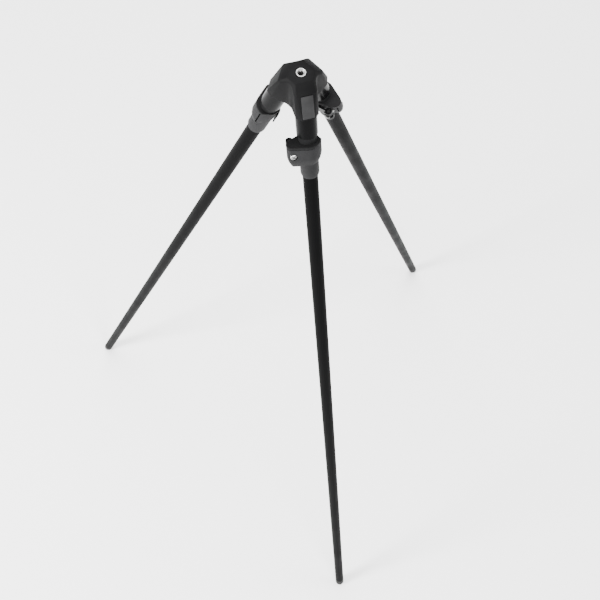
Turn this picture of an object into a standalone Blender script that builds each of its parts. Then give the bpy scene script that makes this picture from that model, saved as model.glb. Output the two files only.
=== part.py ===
"""Tripod hunting stand: a facetted hub on three fixed-splay legs, each held by a flip-lever clamp.

Units are metres and +Z is up. The stand rests on the plane z = 0. The leg axes meet at one point,
the apex, above the hub. Every piece of a leg is modelled in that leg's own frame, whose origin is
the apex: +Z runs down the leg axis, +Y points outward and +X sideways, anticlockwise from above.
A "station" is a distance down the leg axis from the apex.
"""
import bpy
import bmesh
from math import acos, atan2, cos, hypot, pi, radians, sin, tan
from mathutils import Matrix, Vector

# ---- Driving dimensions -------------------------------------------------------------------------
LEGS = {"front": radians(-90), "right": radians(30), "left": radians(150)}  # azimuth of each leg
LEG_TILT = radians(17.82)        # leg axis from vertical
GAP = 0.0003                     # clearance between touching pieces

TUBE_RADIUS = 0.008              # leg tube, 16 mm across
TUBE_WALL = 0.001
STUB_RADIUS = 0.0107             # fixed tube that plugs into the hub
STUB_WALL = 0.001

NECK_RADIUS = 0.0078             # the stub's solid upper end, inside the hub

SOCKET_FLOOR = 0.0520            # stations
HUB_RIM = 0.0662
STUB_END = 0.0920
STUB_FLOOR = HUB_RIM + GAP + STUB_WALL
FLANGE_TOP = 0.0997
FLANGE_BOTTOM = 0.1029
SLEEVE_END = 0.1480
LEG_END = 1.3322

FOOT_LENGTH = 0.022              # part of the foot that shows below the tube
FOOT_DOME = 0.006                # height of its rounded end
PLUG_LENGTH = 0.012              # part of the foot or the top plug inside the tube

HUB_TOP_DROP = 0.0251            # apex down to the hub's flat top
ARM_HALF_WIDTH = 0.0115
ARM_OUTER = 0.0117               # leg axis out to an arm's outer face at the rim
TOP_TO_ARM = 0.0109              # hub axis to the top face's edge over an arm
TOP_TO_WEB = 0.0126              # hub axis to the top face's edge between two arms
WEB_FILLET = 0.010
WEB_SLOPE = radians(55)
SHOULDER = 0.0376                # station where an arm's outer face meets its sloping top
SHOULDER_OUTER = 0.0088          # leg axis out to the outer face there
FACE_TILT = atan2(ARM_OUTER - SHOULDER_OUTER, HUB_RIM - SHOULDER)
BEVEL_INSET = 0.0062             # half-width of the outer face at the rim
BEVEL_DEPTH = 0.0056             # how far the long edge bevels drop from the outer face
EDGE_ROUND = 0.0004

INSERT_RADIUS = 0.0044
INSERT_FLANGE = 0.0050
INSERT_FLANGE_THICKNESS = 0.0010
INSERT_LENGTH = 0.0125
INSERT_HOLE = 0.003175           # quarter-inch thread
INSERT_HOLE_DEPTH = 0.0105

BADGE_SIZE = (0.0116, 0.0252, 0.0009)
BADGE_STATION = 0.0511

SPIGOT_TOP = 0.0816
SPIGOT_RADIUS = 0.0094
SLEEVE_RADIUS = 0.0098
SLEEVE_CHAMFER = 0.0030
SLEEVE_BORE = TUBE_RADIUS + GAP
SLOT_WIDTH = 0.0013
SLOT_HOLE_RADIUS = 0.0019
SLOT_HOLE_STATION = 0.1216
SLOT_ANGLE = radians(26)         # from +X towards +Y
LINER_RADIUS = 0.0093            # the collar's lower end, inside the clamp body
LINER_END = 0.1120

FRONT_RADIUS = 0.0134            # clamp body's outer side
BACK_RADIUS = 0.0106             # clamp body's inner side, where the lever lies
FRONT_START = radians(18)
BACK_END = radians(350)
EAR_RADIUS = 0.0062
EAR_CENTRE = (-0.0166, 0.0030)
BODY_RINGS = ((0.1165, 0), (0.1215, -0.0010), (0.1262, -0.0028), (0.1290, -0.0044))  # station, growth
SPLIT_WIDTH = 0.0012
SPLIT_END = 0.1300
STEP_HEIGHT = 0.0011             # the flange is thinner by this on the side away from the ear
STEP_X = 0.0035

SCREW_STATION = 0.1126
SCREW_X = -0.0172
SCREW_SHANK = 0.0016
SCREW_HEAD = 0.0034
SCREW_HEAD_THICKNESS = 0.0024
SCREW_HEAD_SEAT = 0.0064
RECESS_LENGTH = 0.0044
RECESS_WIDTH = 0.0011
RECESS_DEPTH = 0.0012

PIVOT = (SCREW_X, -0.0081)       # lever pivot in a leg's X and Y
PIN_RADIUS = 0.0022
PIN_LENGTH = 0.0156
KNUCKLE_RADIUS = 0.0036
KNUCKLE_SLOT_RADIUS = 0.0064
KNUCKLE_SLOT_HEIGHT = 0.0066
LEVER_HEIGHT = 0.0170
LEVER_THICKNESS = 0.0020
LEVER_ARC_RADIUS = 0.0120        # to the middle of the lever's thickness
LEVER_TIP_ANGLE = radians(292)
LEVER_FLARE = 0.0006
NUT_SIZE = 0.0056
NUT_THICKNESS = 0.0022

ROUND_STEPS = 36
SMALL_STEPS = 16

# The rounded foot is a half ellipsoid, so its reach below and beside its centre has a closed form.
DOME_CENTRE = LEG_END - FOOT_DOME
APEX_HEIGHT = DOME_CENTRE * cos(LEG_TILT) + hypot(FOOT_DOME * cos(LEG_TILT), TUBE_RADIUS * sin(LEG_TILT))


def leg_axes(azimuth):
    """The leg's sideways, outward and downward unit vectors."""
    side = Vector((-sin(azimuth), cos(azimuth), 0))
    outward = Vector((cos(LEG_TILT) * cos(azimuth), cos(LEG_TILT) * sin(azimuth), sin(LEG_TILT)))
    down = Vector((sin(LEG_TILT) * cos(azimuth), sin(LEG_TILT) * sin(azimuth), -cos(LEG_TILT)))
    return side, outward, down


def foot_reach(azimuth, sign):
    """Furthest y of a foot from the apex, towards +Y or -Y."""
    side, outward, down = leg_axes(azimuth)
    spread = Vector((TUBE_RADIUS * side.y, TUBE_RADIUS * outward.y, FOOT_DOME * down.y))
    return DOME_CENTRE * down.y + sign * spread.length


# The hub sits off the origin so that the origin is below the middle of the stand's box.
HUB_Y = -(foot_reach(LEGS["left"], 1) + foot_reach(LEGS["front"], -1)) / 2
APEX = Vector((0, HUB_Y, APEX_HEIGHT))


# ---- Scene helpers ------------------------------------------------------------------------------
def clear_scene():
    for obj in list(bpy.data.objects):
        bpy.data.objects.remove(obj, do_unlink=True)


def new_collection(name):
    collection = bpy.data.collections.new(name)
    bpy.context.scene.collection.children.link(collection)
    return collection


clear_scene()
STAND = new_collection("tripod_hunting_stand")
CUTTERS = new_collection("cutters")


def material(name, colour, roughness, metallic=0.0):
    mat = bpy.data.materials.new(name)
    mat.use_nodes = True
    shader = mat.node_tree.nodes["Principled BSDF"]
    shader.inputs["Base Color"].default_value = (*colour, 1)
    shader.inputs["Roughness"].default_value = roughness
    shader.inputs["Metallic"].default_value = metallic
    return mat


def add_object(name, mesh, mat, parent=None, location=(0, 0, 0)):
    obj = bpy.data.objects.new(name, mesh)
    obj.data.materials.append(mat)
    STAND.objects.link(obj)
    obj.parent = parent
    obj.location = location
    return obj


def make_cutter(obj):
    """Turn an object into a hidden cutter."""
    for collection in list(obj.users_collection):
        collection.objects.unlink(obj)
    CUTTERS.objects.link(obj)
    obj.hide_render = True
    obj.display_type = "WIRE"
    return obj


def boolean(obj, other, operation="DIFFERENCE"):
    modifier = obj.modifiers.new(f"{operation.lower()}_{other.name}", "BOOLEAN")
    modifier.object = other
    modifier.operation = operation
    modifier.solver = "EXACT"


def bmesh_to_mesh(bm, name):
    mesh = bpy.data.meshes.new(name)
    bm.to_mesh(mesh)
    bm.free()
    return mesh


def cylinder_mesh(name, radius, low, high, steps=ROUND_STEPS, along="Z"):
    """A closed cylinder from low to high along one axis."""
    bm = bmesh.new()
    bmesh.ops.create_cone(
        bm, cap_ends=True, segments=steps, radius1=radius, radius2=radius, depth=high - low
    )
    bmesh.ops.translate(bm, verts=bm.verts, vec=(0, 0, (low + high) / 2))
    if along == "Y":
        bmesh.ops.rotate(bm, verts=bm.verts, matrix=Matrix.Rotation(-pi / 2, 3, "X"))
    return bmesh_to_mesh(bm, name)


def box_mesh(name, size, centre=(0, 0, 0)):
    bm = bmesh.new()
    bmesh.ops.create_cube(bm, size=1)
    bmesh.ops.scale(bm, verts=bm.verts, vec=size)
    bmesh.ops.translate(bm, verts=bm.verts, vec=centre)
    return bmesh_to_mesh(bm, name)


def turned(name, profile, mat, parent=None, closed=True, steps=ROUND_STEPS, location=(0, 0, 0)):
    """Spin a profile of (radius, z) points about Z. It runs down its outer side as z falls."""
    mesh = bpy.data.meshes.new(name)
    count = len(profile)
    edges = [(i, (i + 1) % count) for i in range(count if closed else count - 1)]
    mesh.from_pydata([(radius, 0, z) for radius, z in profile], edges, [])
    obj = add_object(name, mesh, mat, parent, location)
    screw = obj.modifiers.new("turn", "SCREW")
    screw.angle = 2 * pi
    screw.steps = steps
    screw.render_steps = steps
    screw.use_merge_vertices = True
    screw.merge_threshold = 0.00001
    screw.use_smooth_shade = True
    return obj


def flat_outline(name, points, low, high):
    """A closed outline in XY, made solid from z = low to z = high by an extruded 2D curve."""
    curve = bpy.data.curves.new(name, "CURVE")
    curve.dimensions = "2D"
    curve.fill_mode = "BOTH"
    curve.extrude = (high - low) / 2
    spline = curve.splines.new("POLY")
    spline.points.add(len(points) - 1)
    for point, (x, y) in zip(spline.points, points):
        point.co = (x, y, 0, 1)
    spline.use_cyclic_u = True
    guide = bpy.data.objects.new(name + "_outline", curve)
    CUTTERS.objects.link(guide)
    bpy.context.view_layer.update()
    mesh = bpy.data.meshes.new_from_object(guide.evaluated_get(bpy.context.evaluated_depsgraph_get()))
    bpy.data.objects.remove(guide, do_unlink=True)
    bm = bmesh.new()
    bm.from_mesh(mesh)
    bmesh.ops.remove_doubles(bm, verts=bm.verts, dist=0.00001)
    bmesh.ops.translate(bm, verts=bm.verts, vec=(0, 0, (low + high) / 2))
    bmesh.ops.dissolve_limit(bm, angle_limit=radians(0.5), verts=bm.verts, edges=bm.edges)
    bmesh.ops.recalc_face_normals(bm, faces=bm.faces)
    bpy.data.meshes.remove(mesh)
    return bm


def arc(centre, radius, start, end, count):
    """Points along an arc, both ends included."""
    step = (end - start) / (count - 1)
    angles = [start + step * i for i in range(count)]
    return [(centre[0] + radius * cos(angle), centre[1] + radius * sin(angle)) for angle in angles]


def plane_cut(bm, point, normal):
    """Cut away what lies beyond a plane and close the cut."""
    geometry = bm.verts[:] + bm.edges[:] + bm.faces[:]
    cut = bmesh.ops.bisect_plane(bm, geom=geometry, plane_co=point, plane_no=normal, clear_outer=True)
    edges = [item for item in cut["geom_cut"] if isinstance(item, bmesh.types.BMEdge)]
    if edges:
        bmesh.ops.contextual_create(bm, geom=edges)


def bevel_modifier(obj, width, segments=2, angle=radians(25)):
    bevel = obj.modifiers.new("edges", "BEVEL")
    bevel.width = width
    bevel.segments = segments
    bevel.limit_method = "ANGLE"
    bevel.angle_limit = angle
    return bevel


def shade(obj, angle=radians(32)):
    """Smooth shading with sharp edges kept."""
    obj.data.shade_smooth()
    obj.data.set_sharp_from_angle(angle=angle)


# ---- Materials ----------------------------------------------------------------------------------
HUB_PLASTIC = material("hub_plastic", (0.022, 0.022, 0.023), 0.55)
BADGE_PLASTIC = material("badge_plastic", (0.060, 0.060, 0.062), 0.40)
INSERT_STEEL = material("insert_steel", (0.56, 0.56, 0.55), 0.25, 1.0)
STUB_ALUMINIUM = material("stub_aluminium", (0.014, 0.014, 0.015), 0.22, 0.6)
CLAMP_PLASTIC = material("clamp_plastic", (0.026, 0.026, 0.027), 0.45)
LEVER_PLASTIC = material("lever_plastic", (0.009, 0.009, 0.010), 0.35)
FASTENER_STEEL = material("fastener_steel", (0.60, 0.60, 0.59), 0.30, 1.0)
PIN_STEEL = material("pin_steel", (0.020, 0.020, 0.021), 0.35, 0.8)
TUBE_ALUMINIUM = material("tube_aluminium", (0.030, 0.030, 0.031), 0.38, 0.6)
FOOT_RUBBER = material("foot_rubber", (0.018, 0.018, 0.018), 0.70)


# ---- Hub ----------------------------------------------------------------------------------------
def hub_plan():
    """Plan of the hub: three arms of equal width, with a fillet in each corner between them."""
    reach = 0.050
    points = []
    fillet_centre = (ARM_HALF_WIDTH + WEB_FILLET) / sin(pi / 3)
    for azimuth in sorted(LEGS.values()):
        along = Vector((cos(azimuth), sin(azimuth)))
        side = Vector((-along.y, along.x))
        points.append(tuple(along * reach - side * ARM_HALF_WIDTH))
        points.append(tuple(along * reach + side * ARM_HALF_WIDTH))
        web = azimuth + pi / 3
        centre = (fillet_centre * cos(web), fillet_centre * sin(web))
        points += arc(centre, WEB_FILLET, web + pi + pi / 6, web + pi - pi / 6, 7)
    return points


def cut_arm(bm, azimuth):
    """Facet one arm: sloping top, outer face, long bevels, the slope beside it, and the rim."""
    side, outward, down = leg_axes(azimuth)
    along = Vector((cos(azimuth), sin(azimuth), 0))
    up = Vector((0, 0, 1))
    top_edge = along * TOP_TO_ARM - up * HUB_TOP_DROP
    shoulder = down * SHOULDER + outward * SHOULDER_OUTER
    face_normal = outward * cos(FACE_TILT) - down * sin(FACE_TILT)
    plane_cut(bm, top_edge, (shoulder - top_edge).cross(side))
    plane_cut(bm, shoulder, face_normal)
    for sign in (-1, 1):
        edge = side * sign * BEVEL_INSET + outward * ARM_OUTER
        normal = side * sign * BEVEL_DEPTH + outward * (ARM_HALF_WIDTH - BEVEL_INSET)
        plane_cut(bm, edge, normal)
    web = Vector((cos(azimuth + pi / 3), sin(azimuth + pi / 3), 0))
    plane_cut(bm, web * TOP_TO_WEB - up * HUB_TOP_DROP, web * tan(WEB_SLOPE) + up)
    plane_cut(bm, down * HUB_RIM, down)


def make_hub():
    bm = flat_outline("hub", hub_plan(), -0.080, -HUB_TOP_DROP)
    for azimuth in LEGS.values():
        cut_arm(bm, azimuth)
    bmesh.ops.recalc_face_normals(bm, faces=bm.faces)
    hub = add_object("hub_body", bmesh_to_mesh(bm, "hub_body"), HUB_PLASTIC, location=APEX)
    bevel_modifier(hub, EDGE_ROUND, segments=1, angle=radians(16))
    depth = HUB_TOP_DROP + INSERT_LENGTH + GAP
    well = add_object(
        "insert_well", cylinder_mesh("insert_well", INSERT_RADIUS + GAP, -depth, 0), HUB_PLASTIC, location=APEX
    )
    seat_floor = -HUB_TOP_DROP - INSERT_FLANGE_THICKNESS - 2 * GAP
    seat = add_object(
        "insert_seat", cylinder_mesh("insert_seat", INSERT_FLANGE + GAP, seat_floor, 0), HUB_PLASTIC, location=APEX
    )
    for cutter in (well, seat):
        boolean(hub, make_cutter(cutter))
    return hub


def make_insert():
    """Flanged threaded insert, flush with the hub's top, with a blind hole that opens upward."""
    top = -HUB_TOP_DROP - GAP / 3
    under = top - INSERT_FLANGE_THICKNESS
    bottom = -HUB_TOP_DROP - INSERT_LENGTH
    floor = top - INSERT_HOLE_DEPTH
    chamfer = 0.0004
    profile = [
        (0, floor - 0.0008),
        (INSERT_HOLE - chamfer, floor),
        (INSERT_HOLE, floor + chamfer),
        (INSERT_HOLE, top - chamfer),
        (INSERT_HOLE + chamfer, top),
        (INSERT_FLANGE - chamfer, top),
        (INSERT_FLANGE, top - chamfer),
        (INSERT_FLANGE, under),
        (INSERT_RADIUS, under - chamfer),
        (INSERT_RADIUS, bottom + chamfer),
        (INSERT_RADIUS - chamfer, bottom),
        (0, bottom),
    ]
    return turned("hub_insert", profile, INSERT_STEEL, closed=False, location=APEX)


def make_badge(frame):
    """Plain raised plate on the front arm's outer face."""
    width, length, thickness = BADGE_SIZE
    face = SHOULDER_OUTER + (BADGE_STATION - SHOULDER) * tan(FACE_TILT)
    stand_off = GAP + thickness / 2
    centre = (0, face + stand_off * cos(FACE_TILT), BADGE_STATION - stand_off * sin(FACE_TILT))
    badge = add_object("front_badge", box_mesh("front_badge", (width, thickness, length)), BADGE_PLASTIC,
                       frame, centre)
    badge.rotation_euler = (-FACE_TILT, 0, 0)
    bevel_modifier(badge, 0.0003)
    shade(badge)
    return badge


# ---- Clamp outlines -----------------------------------------------------------------------------
def egg_outline(grow=0.0):
    """The clamp's plan: a wide outer arc, the ear's small round, and a tighter arc on the inner side."""
    front = FRONT_RADIUS + grow
    back = BACK_RADIUS + grow
    ear = EAR_RADIUS + grow
    distance = hypot(*EAR_CENTRE)
    direction = atan2(EAR_CENTRE[1], EAR_CENTRE[0])
    ear_start = direction - acos((front - ear) / distance)
    ear_end = direction + acos((back - ear) / distance)
    points = arc((0, 0), front, FRONT_START, ear_start, 11)
    points += arc(EAR_CENTRE, ear, ear_start, ear_end, 9)
    return points + arc((0, 0), back, ear_end, BACK_END, 9)


def lofted(name, rings):
    """A closed solid through outlines of equal point counts, given as (station, outline)."""
    bm = bmesh.new()
    loops = [[bm.verts.new((x, y, station)) for x, y in outline] for station, outline in rings]
    for upper, lower in zip(loops, loops[1:]):
        for i in range(len(upper)):
            bm.faces.new((upper[i - 1], upper[i], lower[i], lower[i - 1]))
    bm.faces.new(loops[0])
    bm.faces.new(loops[-1][::-1])
    bmesh.ops.recalc_face_normals(bm, faces=bm.faces)
    return bmesh_to_mesh(bm, name)


def lever_centre_line():
    """Plan points from the pivot, along a tangent and round the inner side to the lever's tip."""
    pivot_angle = atan2(PIVOT[1], PIVOT[0])
    pivot_distance = hypot(*PIVOT)
    start = pivot_angle + 2 * pi + acos(LEVER_ARC_RADIUS / pivot_distance)
    count = 7
    points = [PIVOT]
    for i in range(count + 1):
        share = i / count
        angle = start + (LEVER_TIP_ANGLE - start) * share
        radius = LEVER_ARC_RADIUS + LEVER_FLARE * max(0, share - 0.75) * 4
        points.append((radius * cos(angle), radius * sin(angle)))
    return [Vector(point) for point in points]


def lever_outline():
    """The lever's centre line made as wide as the lever is thick, thinner at the tip."""
    centre = lever_centre_line()
    last = len(centre) - 1
    near, far = [], []
    for i, point in enumerate(centre):
        ahead = centre[min(i + 1, last)]
        behind = centre[max(i - 1, 0)]
        normal = Vector((-(ahead - behind).y, (ahead - behind).x)).normalized()
        half = LEVER_THICKNESS / 2 * (1 - 0.3 * i / last)
        near.append(point + normal * half - Vector(PIVOT))
        far.append(point - normal * half - Vector(PIVOT))
    return [tuple(point) for point in far + near[::-1]]


# ---- One leg ------------------------------------------------------------------------------------
def add_cutter(name, mesh, parent, location=(0, 0, 0)):
    return make_cutter(add_object(name, mesh, HUB_PLASTIC, parent, location))


def slot_cutter(name, frame, low, high):
    """Radial slit through the wall at the keyhole's angle, between two stations."""
    slit = box_mesh("slit", (0.011, SLOT_WIDTH, high - low), (0.0125, 0, (low + high) / 2))
    slit.transform(Matrix.Rotation(SLOT_ANGLE, 4, "Z"))
    return add_cutter(name, slit, frame)


def make_stub(leg, frame):
    """Short fixed tube that meets the hub's rim, with a solid neck up in the hub's socket."""
    inner = STUB_RADIUS - STUB_WALL
    rim = HUB_RIM + GAP
    top = SOCKET_FLOOR + GAP
    profile = [
        (0, STUB_FLOOR),
        (inner, STUB_FLOOR),
        (inner, STUB_END),
        (STUB_RADIUS, STUB_END),
        (STUB_RADIUS, rim),
        (NECK_RADIUS, rim),
        (NECK_RADIUS, top),
        (0, top),
    ]
    return turned(f"stub_tube_{leg}", profile, STUB_ALUMINIUM, frame, closed=False)


def make_collar(leg, frame):
    """Spigot, egg-shaped flange and a short liner inside the clamp body, in one piece."""
    root = FLANGE_TOP + 0.001
    profile = [
        (LINER_RADIUS, LINER_END),
        (LINER_RADIUS, root),
        (SPIGOT_RADIUS, root),
        (SPIGOT_RADIUS, SPIGOT_TOP + 0.0006),
        (SPIGOT_RADIUS - 0.0005, SPIGOT_TOP),
        (SLEEVE_BORE, SPIGOT_TOP),
        (SLEEVE_BORE, LINER_END),
    ]
    collar = turned(f"clamp_collar_{leg}", profile, CLAMP_PLASTIC, frame)

    bm = flat_outline("flange", egg_outline(0.0002), FLANGE_TOP, FLANGE_BOTTOM)
    flange = add_cutter(f"flange_{leg}", bmesh_to_mesh(bm, "flange"), frame)
    bevel_modifier(flange, 0.0005, segments=1, angle=radians(60))
    eye = cylinder_mesh("flange_eye", SLEEVE_BORE + 0.0007, FLANGE_TOP - 0.001, FLANGE_BOTTOM + 0.001)
    boolean(flange, add_cutter(f"flange_eye_{leg}", eye, frame))
    step_size = (0.040, 0.040, 2 * STEP_HEIGHT)
    step = box_mesh("flange_step", step_size, (STEP_X + 0.020, 0, FLANGE_BOTTOM))
    boolean(flange, add_cutter(f"flange_step_{leg}", step, frame))
    boolean(collar, flange, "UNION")
    return collar


def make_body(leg, frame):
    """Band with a split ear, which the lever squeezes, narrowing to a plain sleeve below it."""
    rings = [(FLANGE_BOTTOM + GAP - STEP_HEIGHT, egg_outline())]
    rings += [(station, egg_outline(grow)) for station, grow in BODY_RINGS]
    body = add_object(f"clamp_body_{leg}", lofted("clamp_body", rings), CLAMP_PLASTIC, frame)

    sleeve_top = LINER_END + 0.002
    sleeve_profile = [
        (0, SLEEVE_END),
        (SLEEVE_RADIUS - SLEEVE_CHAMFER * 0.3, SLEEVE_END),
        (SLEEVE_RADIUS, SLEEVE_END - SLEEVE_CHAMFER),
        (SLEEVE_RADIUS, sleeve_top),
        (0, sleeve_top),
    ]
    sleeve = turned(f"sleeve_{leg}", sleeve_profile, CLAMP_PLASTIC, frame, closed=False)
    boolean(body, make_cutter(sleeve), "UNION")
    bore = cylinder_mesh("body_bore", SLEEVE_BORE, FLANGE_TOP, SLEEVE_END + 0.002)
    boolean(body, add_cutter(f"body_bore_{leg}", bore, frame))
    seat = cylinder_mesh("liner_seat", LINER_RADIUS + GAP, FLANGE_TOP, LINER_END + GAP)
    boolean(body, add_cutter(f"liner_seat_{leg}", seat, frame))
    split = box_mesh("split", (0.022, SPLIT_WIDTH, 0.030), (-0.0185, 0, SPLIT_END - 0.015))
    boolean(body, add_cutter(f"split_{leg}", split, frame))
    step_low = FLANGE_BOTTOM + GAP
    step = box_mesh("body_step", (0.040, 0.040, 0.004), (STEP_X + GAP - 0.020, 0, step_low - 0.002))
    boolean(body, add_cutter(f"body_step_{leg}", step, frame))
    hole = cylinder_mesh("screw_hole", SCREW_SHANK + GAP, -0.012, 0.012, SMALL_STEPS, "Y")
    boolean(body, add_cutter(f"screw_hole_{leg}", hole, frame, (SCREW_X, 0, SCREW_STATION)))
    boolean(body, slot_cutter(f"slit_{leg}", frame, FLANGE_TOP, SLOT_HOLE_STATION))
    relief = cylinder_mesh("slit_end", SLOT_HOLE_RADIUS, 0.0070, 0.016, SMALL_STEPS, "Y")
    relief.transform(Matrix.Rotation(SLOT_ANGLE - pi / 2, 4, "Z"))
    boolean(body, add_cutter(f"slit_end_{leg}", relief, frame, (0, 0, SLOT_HOLE_STATION)))
    seat = cylinder_mesh("head_seat", SCREW_HEAD + 0.0005, SCREW_HEAD_SEAT, 0.012, SMALL_STEPS, "Y")
    boolean(body, add_cutter(f"head_seat_{leg}", seat, frame, (SCREW_X, 0, SCREW_STATION)))
    return body


def make_screw(leg, frame):
    """Cross-recess pan-head screw that ties the ear to the barrel pin. It runs along Y."""
    tip = PIVOT[1] - PIN_RADIUS - GAP - NUT_THICKNESS - 0.0008
    under = SCREW_HEAD_SEAT + GAP
    top = under + SCREW_HEAD_THICKNESS
    profile = [
        (0, tip),
        (SCREW_SHANK - 0.0004, tip),
        (SCREW_SHANK, tip + 0.0004),
        (SCREW_SHANK, under),
        (SCREW_HEAD, under),
        (SCREW_HEAD, top - 0.0009),
        (SCREW_HEAD - 0.0003, top - 0.0004),
        (SCREW_HEAD * 0.62, top),
        (0, top),
    ]
    screw = turned(f"clamp_screw_{leg}", profile[::-1], FASTENER_STEEL, frame, closed=False,
                   steps=SMALL_STEPS, location=(SCREW_X, 0, SCREW_STATION))
    screw.rotation_euler = (-pi / 2, 0, 0)
    for turn, size in enumerate(((RECESS_LENGTH, RECESS_WIDTH), (RECESS_WIDTH, RECESS_LENGTH))):
        slot = box_mesh("recess", (size[0], 2 * RECESS_DEPTH, size[1]), (0, top, 0))
        slot.transform(Matrix.Rotation(pi / 4, 4, "Y"))
        boolean(screw, add_cutter(f"recess_{leg}_{turn}", slot, frame, (SCREW_X, 0, SCREW_STATION)))
    return screw


def make_pin(leg, frame):
    """Barrel pin that the lever turns on and the screw passes through."""
    pin = add_object(f"lever_pin_{leg}",
                     cylinder_mesh("lever_pin", PIN_RADIUS, -PIN_LENGTH / 2, PIN_LENGTH / 2, SMALL_STEPS),
                     PIN_STEEL, frame, (*PIVOT, SCREW_STATION))
    shade(pin)
    bevel_modifier(pin, 0.0003, segments=1, angle=radians(60))
    hole = cylinder_mesh("pin_cross_hole", SCREW_SHANK + GAP, -0.005, 0.005, SMALL_STEPS, "Y")
    boolean(pin, add_cutter(f"pin_cross_hole_{leg}", hole, frame, (*PIVOT, SCREW_STATION)))
    return pin


def make_nut(leg, frame):
    """Square nut on the screw's end, bearing on the barrel pin."""
    centre = (SCREW_X, PIVOT[1] - PIN_RADIUS - GAP - NUT_THICKNESS / 2, SCREW_STATION)
    nut = add_object(f"clamp_nut_{leg}", box_mesh("clamp_nut", (NUT_SIZE, NUT_THICKNESS, NUT_SIZE)),
                     FASTENER_STEEL, frame, centre)
    bevel_modifier(nut, 0.0003, segments=1)
    hole = cylinder_mesh("nut_hole", SCREW_SHANK + GAP, -0.004, 0.004, SMALL_STEPS, "Y")
    boolean(nut, add_cutter(f"nut_hole_{leg}", hole, frame, centre))
    return nut


def make_lever(leg, frame):
    """Flip lever, wrapped round the band's inner side. Its origin is on the pivot axis."""
    half = LEVER_HEIGHT / 2
    bm = flat_outline("lever", lever_outline(), -half, half)
    lever = add_object(f"clamp_lever_{leg}", bmesh_to_mesh(bm, "clamp_lever"), LEVER_PLASTIC, frame,
                       (*PIVOT, SCREW_STATION))
    bevel_modifier(lever, 0.0004, segments=1, angle=radians(50))
    pivot = (*PIVOT, SCREW_STATION)
    knuckle = cylinder_mesh("knuckle", KNUCKLE_RADIUS, -half, half, SMALL_STEPS)
    boolean(lever, add_cutter(f"knuckle_{leg}", knuckle, frame, pivot), "UNION")
    slot_half = KNUCKLE_SLOT_HEIGHT / 2
    slot = cylinder_mesh("knuckle_slot", KNUCKLE_SLOT_RADIUS, -slot_half, slot_half, SMALL_STEPS)
    boolean(lever, add_cutter(f"knuckle_slot_{leg}", slot, frame, pivot))
    bore = cylinder_mesh("knuckle_bore", PIN_RADIUS + GAP, -half - 0.002, half + 0.002, SMALL_STEPS)
    boolean(lever, add_cutter(f"knuckle_bore_{leg}", bore, frame, pivot))
    return lever


def make_leg_tube(leg, frame):
    inner = TUBE_RADIUS - TUBE_WALL
    top = STUB_FLOOR + 0.0018
    bottom = LEG_END - FOOT_LENGTH - GAP
    profile = [(TUBE_RADIUS, bottom), (TUBE_RADIUS, top), (inner, top), (inner, bottom)]
    return turned(f"leg_tube_{leg}", profile, TUBE_ALUMINIUM, frame)


def make_top_plug(leg, frame):
    """Plug in the tube's top end, which meets the floor of the stub."""
    inner = TUBE_RADIUS - TUBE_WALL - GAP
    top = STUB_FLOOR + GAP
    head = top + 0.0012
    bottom = head + PLUG_LENGTH
    profile = [(0, bottom), (inner, bottom), (inner, head), (TUBE_RADIUS, head), (TUBE_RADIUS, top), (0, top)]
    return turned(f"tube_plug_{leg}", profile, CLAMP_PLASTIC, frame, closed=False)


def make_foot(leg, frame):
    """Rubber foot: a plug inside the tube and a round-ended tip flush with its outside."""
    inner = TUBE_RADIUS - TUBE_WALL - GAP
    shoulder = LEG_END - FOOT_LENGTH
    count = 6
    dome = []
    for i in range(count):
        angle = pi / 2 * i / (count - 1)
        dome.append((TUBE_RADIUS * sin(angle), DOME_CENTRE + FOOT_DOME * cos(angle)))
    dome[0] = (0, LEG_END)
    profile = dome + [(TUBE_RADIUS, shoulder), (inner, shoulder), (inner, shoulder - PLUG_LENGTH),
                      (0, shoulder - PLUG_LENGTH)]
    return turned(f"foot_tip_{leg}", profile, FOOT_RUBBER, frame, closed=False)


def make_leg(leg, azimuth, hub):
    side, outward, down = leg_axes(azimuth)
    frame = bpy.data.objects.new(f"leg_frame_{leg}", None)
    STAND.objects.link(frame)
    frame.matrix_world = Matrix.Translation(APEX) @ Matrix((side, outward, down)).transposed().to_4x4()
    socket = cylinder_mesh("socket", NECK_RADIUS + GAP, SOCKET_FLOOR, HUB_RIM + 0.010)
    boolean(hub, add_cutter(f"socket_{leg}", socket, frame))
    make_stub(leg, frame)
    make_collar(leg, frame)
    make_body(leg, frame)
    make_screw(leg, frame)
    make_pin(leg, frame)
    make_nut(leg, frame)
    make_lever(leg, frame)
    make_leg_tube(leg, frame)
    make_top_plug(leg, frame)
    make_foot(leg, frame)
    return frame


hub_body = make_hub()
make_insert()
for leg_name, leg_azimuth in LEGS.items():
    leg_frame = make_leg(leg_name, leg_azimuth, hub_body)
    if leg_name == "front":
        make_badge(leg_frame)
bpy.context.view_layer.update()
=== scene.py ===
"""Looks of the tripod hunting stand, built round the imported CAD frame. Metres, +Z up."""

from math import cos, pi, radians, sin, tan

import bpy
from mathutils import Matrix, Vector


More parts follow.
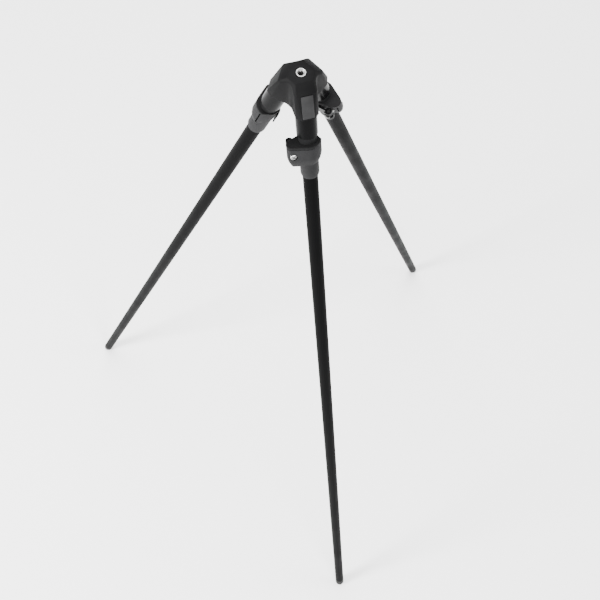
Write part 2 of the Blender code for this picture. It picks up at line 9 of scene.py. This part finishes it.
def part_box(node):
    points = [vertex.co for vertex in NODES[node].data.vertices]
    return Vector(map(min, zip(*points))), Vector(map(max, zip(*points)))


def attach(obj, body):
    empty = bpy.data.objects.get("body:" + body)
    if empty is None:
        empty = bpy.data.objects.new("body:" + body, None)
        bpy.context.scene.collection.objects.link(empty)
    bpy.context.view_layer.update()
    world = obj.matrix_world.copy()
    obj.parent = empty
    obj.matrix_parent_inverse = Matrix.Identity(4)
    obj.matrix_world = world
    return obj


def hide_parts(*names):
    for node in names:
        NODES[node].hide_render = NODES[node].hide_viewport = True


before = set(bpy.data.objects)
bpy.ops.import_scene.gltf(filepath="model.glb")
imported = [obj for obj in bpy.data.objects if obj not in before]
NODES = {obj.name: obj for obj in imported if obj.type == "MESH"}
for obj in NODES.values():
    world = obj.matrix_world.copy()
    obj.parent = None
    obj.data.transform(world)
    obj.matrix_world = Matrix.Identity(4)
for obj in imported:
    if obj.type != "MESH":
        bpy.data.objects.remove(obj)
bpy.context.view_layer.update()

LEG_TILT = radians(17.82)
LEGS = {"front": radians(-90), "right": radians(30), "left": radians(150)}
HUB_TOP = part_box("hub_body")[1].z
HUB_TOP_DROP = 0.0251            # the legs' common apex down to the hub's flat top
APEX = Vector((0, 0.101401, HUB_TOP + HUB_TOP_DROP))
CREASE = radians(28)             # edges sharper than this stay sharp and are rounded


def leg_axes(azimuth):
    """The leg's sideways, outward and downward unit vectors."""
    side = Vector((-sin(azimuth), cos(azimuth), 0))
    outward = Vector((cos(LEG_TILT) * cos(azimuth), cos(LEG_TILT) * sin(azimuth), sin(LEG_TILT)))
    down = Vector((sin(LEG_TILT) * cos(azimuth), sin(LEG_TILT) * sin(azimuth), -cos(LEG_TILT)))
    return side, outward, down


# ---- Material building blocks ---------------------------------------------------------------------
class Graph:
    """A material's node tree with short calls for the nodes used here."""

    def __init__(self, name):
        self.material = bpy.data.materials.new(name)
        self.material.use_nodes = True
        self.tree = self.material.node_tree
        self.shader = self.tree.nodes["Principled BSDF"]
        self.place = self.tree.nodes.new("ShaderNodeTexCoord").outputs["Object"]

    def link(self, source, target):
        self.tree.links.new(source, target)

    def fill(self, socket, value):
        if isinstance(value, bpy.types.NodeSocket):
            self.link(value, socket)
        else:
            socket.default_value = value

    def math(self, operation, a, b=0.0, clamp=False):
        node = self.tree.nodes.new("ShaderNodeMath")
        node.operation = operation
        node.use_clamp = clamp
        self.fill(node.inputs[0], a)
        self.fill(node.inputs[1], b)
        return node.outputs[0]

    def component(self, direction):
        """How far the shaded point lies along a direction."""
        node = self.tree.nodes.new("ShaderNodeVectorMath")
        node.operation = "DOT_PRODUCT"
        self.link(self.place, node.inputs[0])
        node.inputs[1].default_value = direction
        return node.outputs["Value"]

    def noise(self, scale, detail=4.0, roughness=0.55, place=None):
        node = self.tree.nodes.new("ShaderNodeTexNoise")
        self.link(place or self.place, node.inputs["Vector"])
        node.inputs["Scale"].default_value = scale
        node.inputs["Detail"].default_value = detail
        node.inputs["Roughness"].default_value = roughness
        return node.outputs[0]

    def remap(self, value, low, high, to_low, to_high):
        node = self.tree.nodes.new("ShaderNodeMapRange")
        self.link(value, node.inputs["Value"])
        limits = {"From Min": low, "From Max": high, "To Min": to_low, "To Max": to_high}
        for name, number in limits.items():
            node.inputs[name].default_value = number
        return node.outputs["Result"]

    def blend(self, share, first, second):
        node = self.tree.nodes.new("ShaderNodeMix")
        node.data_type = "RGBA"
        self.fill(node.inputs["Factor"], share)
        self.fill(node.inputs["A"], first)
        self.fill(node.inputs["B"], second)
        return node.outputs["Result"]

    def bump(self, height, distance, strength, below=None):
        node = self.tree.nodes.new("ShaderNodeBump")
        node.inputs["Strength"].default_value = strength
        node.inputs["Distance"].default_value = distance
        self.link(height, node.inputs["Height"])
        if below is not None:
            self.link(below, node.inputs["Normal"])
        return node.outputs["Normal"]

    def along(self, azimuth, stretch):
        """Coordinates in a leg's own frame, compressed along the leg so that grain runs lengthwise."""
        side, outward, down = leg_axes(azimuth)
        node = self.tree.nodes.new("ShaderNodeCombineXYZ")
        self.link(self.component(side), node.inputs[0])
        self.link(self.component(outward), node.inputs[1])
        self.link(self.math("MULTIPLY", self.component(down), stretch), node.inputs[2])
        return node.outputs[0]


def tint(colour, factor):
    return tuple(channel * factor for channel in colour) + (1.0,)


def moulded_plastic(name, colour, roughness, grain=0.00005, wear=0.0, specular=0.5):
    """Spark-textured moulding: fine grain, soft mottling, and pale rub marks where wear is above zero."""
    g = Graph(name)
    mottle = g.noise(55.0, 5.0)
    cloud = g.noise(14.0, 2.0)
    shade = g.blend(g.remap(mottle, 0.3, 0.7, 0.0, 1.0), tint(colour, 0.82), tint(colour, 1.2))
    shade = g.blend(g.remap(cloud, 0.35, 0.65, 0.0, 0.35), shade, tint(colour, 1.35))
    rub = g.remap(g.noise(210.0, 8.0, 0.7), 0.62, 0.72, 0.0, wear)
    rub = g.math("MULTIPLY", rub, g.remap(g.noise(30.0, 2.0), 0.5, 0.62, 0.0, 1.0), clamp=True)
    shade = g.blend(rub, shade, tint(colour, 3.2))
    g.link(shade, g.shader.inputs["Base Color"])
    rough = g.remap(mottle, 0.25, 0.75, roughness - 0.05, roughness + 0.07)
    g.link(g.math("ADD", rough, g.math("MULTIPLY", rub, 0.12), clamp=True), g.shader.inputs["Roughness"])
    g.shader.inputs["Specular IOR Level"].default_value = specular
    coarse = g.bump(g.noise(900.0, 2.0, 0.5), grain * 2, 0.25)
    g.link(g.bump(g.noise(3800.0, 2.0, 0.6), grain, 0.55, coarse), g.shader.inputs["Normal"])
    return g.material


def anodised_tube(name, azimuth, colour, roughness, specular, painted_sheen_below=None):
    """Drawn and anodised aluminium: lengthwise draw lines, handling marks, and a painted reflection that
    makes the lower end paler.
    """
    g = Graph(name)
    lines = g.noise(2600.0, 3.0, 0.6, g.along(azimuth, 0.004))
    scratches = g.noise(1500.0, 6.0, 0.75, g.along(azimuth, 0.05))
    smudge = g.noise(24.0, 4.0)
    shade = g.blend(g.remap(lines, 0.3, 0.7, 0.0, 1.0), tint(colour, 0.86), tint(colour, 1.16))
    shade = g.blend(g.remap(smudge, 0.4, 0.7, 0.0, 0.5), shade, tint(colour, 1.3))
    # Painted reflection: below the given height the colour grows paler towards the floor, standing in for
    # the brighter grazing reflection near the feet.
    if painted_sheen_below is not None:
        height = g.tree.nodes.new("ShaderNodeSeparateXYZ")
        g.link(g.place, height.inputs[0])
        share = g.remap(height.outputs["Z"], painted_sheen_below, 0.0, 0.0, 0.4)
        shade = g.blend(share, shade, tint(colour, 2.1))
    nick = g.remap(scratches, 0.70, 0.76, 0.0, 0.35)
    shade = g.blend(nick, shade, tint(colour, 3.0))
    g.link(shade, g.shader.inputs["Base Color"])
    rough = g.remap(smudge, 0.3, 0.7, roughness - 0.05, roughness + 0.07)
    g.link(g.math("ADD", rough, g.math("MULTIPLY", nick, 0.3), clamp=True), g.shader.inputs["Roughness"])
    g.shader.inputs["Specular IOR Level"].default_value = specular
    g.link(g.bump(lines, 0.00002, 0.35), g.shader.inputs["Normal"])
    return g.material


def turned_steel(name, colour, roughness, metallic=1.0):
    """Turned and plated steel with a fine grain and faint tarnish."""
    g = Graph(name)
    tarnish = g.noise(260.0, 4.0)
    shade = g.blend(g.remap(tarnish, 0.35, 0.7, 0.0, 1.0), tint(colour, 1.06), tint(colour, 0.78))
    g.link(shade, g.shader.inputs["Base Color"])
    g.shader.inputs["Metallic"].default_value = metallic
    g.shader.inputs["Specular IOR Level"].default_value = 0.15
    g.link(g.remap(tarnish, 0.3, 0.7, roughness - 0.06, roughness + 0.10), g.shader.inputs["Roughness"])
    g.link(g.bump(g.noise(4200.0, 2.0), 0.00001, 0.3), g.shader.inputs["Normal"])
    return g.material


def worn_rubber(name, colour, roughness):
    """Moulded rubber, dusty towards its ground end."""
    g = Graph(name)
    mottle = g.noise(140.0, 5.0)
    shade = g.blend(g.remap(mottle, 0.3, 0.7, 0.0, 1.0), tint(colour, 0.8), tint(colour, 1.25))
    height = g.tree.nodes.new("ShaderNodeSeparateXYZ")
    g.link(g.place, height.inputs[0])
    dust = g.remap(height.outputs["Z"], 0.018, 0.001, 0.0, 0.6)
    dust = g.math("MULTIPLY", dust, g.remap(g.noise(420.0, 6.0, 0.7), 0.4, 0.65, 0.0, 1.0), clamp=True)
    shade = g.blend(dust, shade, (0.11, 0.105, 0.10, 1.0))
    g.link(shade, g.shader.inputs["Base Color"])
    g.link(g.remap(mottle, 0.3, 0.7, roughness - 0.06, roughness + 0.08), g.shader.inputs["Roughness"])
    g.shader.inputs["Specular IOR Level"].default_value = 0.08
    g.link(g.bump(g.noise(2400.0, 3.0), 0.00006, 0.5), g.shader.inputs["Normal"])
    return g.material


HUB = moulded_plastic("hub_moulding", (0.0052, 0.0052, 0.0054), 0.48, wear=0.5, specular=0.02)
BADGE = moulded_plastic(
    "badge_moulding", (0.021, 0.021, 0.0215), 0.42, grain=0.00002, wear=0.4, specular=0.03
)
CLAMP = moulded_plastic("clamp_moulding", (0.0165, 0.0165, 0.0170), 0.46, wear=0.5, specular=0.012)
COLLAR = moulded_plastic("collar_moulding", (0.0075, 0.0075, 0.0077), 0.46, wear=0.3, specular=0.03)
PLUG = moulded_plastic("plug_moulding", (0.008, 0.008, 0.0082), 0.55, specular=0.1)
LEVER = moulded_plastic(
    "lever_moulding", (0.004, 0.004, 0.0042), 0.38, grain=0.00002, wear=0.4, specular=0.03
)
FASTENER = turned_steel("fastener_plate", (0.30, 0.30, 0.295), 0.34)
NUT = turned_steel("nut_plate", (0.030, 0.030, 0.0295), 0.42, 0.5)
PIN = turned_steel("pin_oxide", (0.010, 0.010, 0.0104), 0.42, 0.15)
INSERT = turned_steel("insert_plate", (0.20, 0.20, 0.198), 0.32)
FOOT = worn_rubber("foot_rubber", (0.012, 0.012, 0.012), 0.66)
# The leg tubes carry a painted reflection that pales them below 0.9 m.
TUBES = {
    leg: anodised_tube(f"tube_anodised_{leg}", azimuth, (0.0030, 0.0030, 0.0031), 0.40, 0.004, 0.9)
    for leg, azimuth in LEGS.items()
}
STUBS = {
    leg: anodised_tube(f"stub_anodised_{leg}", azimuth, (0.0025, 0.0025, 0.0026), 0.20, 0.02)
    for leg, azimuth in LEGS.items()
}


# ---- CAD nodes: welded smooth shading, rounded edges, finishes ------------------------------------
def smoothing_group():
    """Welds a faceted node and shades it smooth, except across edges sharper than 28 degrees."""
    group = bpy.data.node_groups.new("weld_and_smooth", "GeometryNodeTree")
    group.interface.new_socket("Geometry", in_out="INPUT", socket_type="NodeSocketGeometry")
    group.interface.new_socket("Geometry", in_out="OUTPUT", socket_type="NodeSocketGeometry")
    start = group.nodes.new("NodeGroupInput")
    end = group.nodes.new("NodeGroupOutput")
    weld = group.nodes.new("GeometryNodeMergeByDistance")
    weld.inputs["Distance"].default_value = 0.000002
    clear = group.nodes.new("GeometryNodeRemoveAttribute")
    clear.inputs["Name"].default_value = "custom_normal"
    faces = group.nodes.new("GeometryNodeSetShadeSmooth")
    faces.domain = "FACE"
    edges = group.nodes.new("GeometryNodeSetShadeSmooth")
    edges.domain = "EDGE"
    angle = group.nodes.new("GeometryNodeInputMeshEdgeAngle")
    compare = group.nodes.new("FunctionNodeCompare")
    compare.data_type = "FLOAT"
    compare.operation = "LESS_THAN"
    compare.inputs["B"].default_value = CREASE
    group.links.new(angle.outputs["Unsigned Angle"], compare.inputs["A"])
    group.links.new(compare.outputs["Result"], edges.inputs["Shade Smooth"])
    chain = [start.outputs[0], weld, clear, faces, edges]
    source = chain[0]
    for node in chain[1:]:
        group.links.new(source, node.inputs["Geometry"])
        source = node.outputs["Geometry"]
    group.links.new(source, end.inputs[0])
    return group


SMOOTH = smoothing_group()


def dress(node_name, material, edge=0.0):
    """Give a CAD node its finish and softened edges."""
    obj = NODES[node_name]
    obj.data.materials.clear()
    obj.data.materials.append(material)
    smooth = obj.modifiers.new("smooth", "NODES")
    smooth.node_group = SMOOTH
    if edge:
        bevel = obj.modifiers.new("edges", "BEVEL")
        bevel.width = edge
        bevel.segments = 3
        bevel.limit_method = "ANGLE"
        bevel.angle_limit = CREASE
        bevel.harden_normals = True


dress("hub_body", HUB, 0.0005)
dress("front_badge", BADGE, 0.0003)
for leg in LEGS:
    dress(f"stub_tube_{leg}", STUBS[leg], 0.0002)
    dress(f"clamp_collar_{leg}", COLLAR, 0.0003)
    dress(f"clamp_body_{leg}", CLAMP, 0.0003)
    dress(f"clamp_screw_{leg}", FASTENER, 0.00015)
    dress(f"lever_pin_{leg}", PIN)
    dress(f"clamp_nut_{leg}", NUT, 0.0002)
    dress(f"clamp_lever_{leg}", LEVER, 0.0003)
    dress(f"leg_tube_{leg}", TUBES[leg])
    dress(f"tube_plug_{leg}", PLUG)
    dress(f"foot_tip_{leg}", FOOT)


# ---- Threaded insert ------------------------------------------------------------------------------
THREAD_MAJOR = 0.003175          # quarter-inch accessory thread, 20 turns to the inch
THREAD_MINOR = 0.0026
THREAD_PITCH = 0.00127
THREAD_TURNS = 7
THREAD_START = 0.0006            # depth of the countersink above the first turn
FLANGE_STEP = 0.0006             # the flange's overhang past the insert's body
FLANGE_THICKNESS = 0.0010
CHAMFER = 0.0004
STEPS_AROUND = 64
STEPS_PER_TURN = 8


def thread_radius(depth, angle):
    """Radius of the thread's wall at a depth and an angle: a triangle wave along a helix."""
    phase = (depth / THREAD_PITCH + angle / (2 * pi)) % 1.0
    return THREAD_MINOR + (THREAD_MAJOR - THREAD_MINOR) * abs(2 * phase - 1)


def threaded_insert():
    """Flanged insert with a quarter-inch thread cut as a helix down its bore."""
    low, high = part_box("hub_insert")
    flange = (high.x - low.x) / 2
    body = flange - FLANGE_STEP
    centre = (low + high) / 2
    top = high.z
    verts, faces = [], []

    def ring(radii, height):
        """Add a ring of points, from one radius or a list of them, and return its first index."""
        start = len(verts)
        for i in range(STEPS_AROUND):
            angle = 2 * pi * i / STEPS_AROUND
            radius = radii[i] if isinstance(radii, list) else radii
            verts.append((centre.x + radius * cos(angle), centre.y + radius * sin(angle), height))
        return start

    rings = [
        ring(body - CHAMFER, low.z),
        ring(body, low.z + CHAMFER),
        ring(body, top - FLANGE_THICKNESS - 0.0001),
        ring(flange, top - FLANGE_THICKNESS),
        ring(flange, top - CHAMFER),
        ring(flange - CHAMFER, top),
        ring(THREAD_MAJOR + 0.0006, top),
        ring(THREAD_MAJOR + 0.0001, top - 0.0005),
    ]
    for step in range(THREAD_TURNS * STEPS_PER_TURN):
        depth = THREAD_START + THREAD_PITCH * step / STEPS_PER_TURN
        radii = [thread_radius(depth, 2 * pi * i / STEPS_AROUND) for i in range(STEPS_AROUND)]
        rings.append(ring(radii, top - depth))
    rings.append(ring(THREAD_MINOR, top - THREAD_START - THREAD_PITCH * THREAD_TURNS))
    for first, second in zip(rings, rings[1:]):
        for i in range(STEPS_AROUND):
            j = (i + 1) % STEPS_AROUND
            faces.append((first + i, first + j, second + j, second + i))
    faces.append([rings[0] + i for i in reversed(range(STEPS_AROUND))])
    faces.append([rings[-1] + i for i in range(STEPS_AROUND)])
    mesh = bpy.data.meshes.new("insert_threaded")
    mesh.from_pydata(verts, [], faces)
    mesh.validate()
    mesh.shade_smooth()
    mesh.set_sharp_from_angle(angle=radians(30))
    mesh.materials.append(INSERT)
    piece = bpy.data.objects.new("insert_threaded", mesh)
    bpy.context.scene.collection.objects.link(piece)
    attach(piece, "head")
    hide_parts("hub_insert")


threaded_insert()


# ---- Floor, light, camera -------------------------------------------------------------------------
def make_floor():
    mesh = bpy.data.meshes.new("floor")
    half = 12.0
    corners = [(-half, -half, 0), (half, -half, 0), (half, half, 0), (-half, half, 0)]
    mesh.from_pydata(corners, [], [(0, 1, 2, 3)])
    floor = bpy.data.objects.new("floor", mesh)
    bpy.context.scene.collection.objects.link(floor)
    g = Graph("floor_paper")
    g.link(g.remap(g.noise(1.5, 2.0), 0.3, 0.7, 0.90, 0.95), g.shader.inputs["Roughness"])
    g.shader.inputs["Base Color"].default_value = (0.97, 0.97, 0.97, 1)
    g.shader.inputs["Specular IOR Level"].default_value = 0.1
    mesh.materials.append(g.material)


def area_light(name, place, target, size, power):
    data = bpy.data.lights.new(name, "AREA")
    data.shape = "RECTANGLE"
    data.size, data.size_y = size
    data.energy = power
    light = bpy.data.objects.new(name, data)
    bpy.context.scene.collection.objects.link(light)
    light.location = place
    light.rotation_euler = (Vector(target) - Vector(place)).to_track_quat("-Z", "Y").to_euler()


make_floor()
area_light("key", (-3.0, -0.2, 1.9), (0, 0, 0.4), (0.9, 1.2), 300)
area_light("fill", (2.8, -0.6, 2.0), (0, 0, 0.7), (1.4, 2.4), 60)
area_light("front", (0.3, -3.0, 1.9), (0, 0, 0.8), (1.6, 1.8), 150)
area_light("top", (0.2, 1.6, 4.2), (0, 0, 0.3), (3.0, 3.0), 330)
world = bpy.data.worlds.new("studio")
world.use_nodes = True
world.node_tree.nodes["Background"].inputs["Color"].default_value = (1, 1, 1, 1)
world.node_tree.nodes["Background"].inputs["Strength"].default_value = 1.15
bpy.context.scene.world = world


def make_camera():
    """Camera above and in front of the stand, aimed a little below its hub."""
    azimuth, elevation, roll = radians(-17.647), radians(55.979), radians(4.007)
    distance = 0.86328
    level = cos(elevation)
    offset = distance * Vector((sin(azimuth) * level, -cos(azimuth) * level, sin(elevation)))
    up = Vector((0, 0, 1))
    forward = -offset.normalized()
    right = forward.cross(up).normalized()
    above = right.cross(forward)
    forward = (forward + tan(radians(0.559)) * right + tan(radians(-14.607)) * above).normalized()
    right = forward.cross(up).normalized()
    above = right.cross(forward)
    turned_right = cos(roll) * right + sin(roll) * above
    turned_up = -sin(roll) * right + cos(roll) * above
    data = bpy.data.cameras.new("camera")
    data.sensor_width = 36
    data.lens = 56.02
    data.clip_start = 0.01
    camera = bpy.data.objects.new("camera", data)
    bpy.context.scene.collection.objects.link(camera)
    turn = Matrix((turned_right, turned_up, -forward)).transposed().to_4x4()
    camera.matrix_world = Matrix.Translation(APEX + offset) @ turn
    bpy.context.scene.camera = camera


make_camera()
bpy.context.view_layer.update()
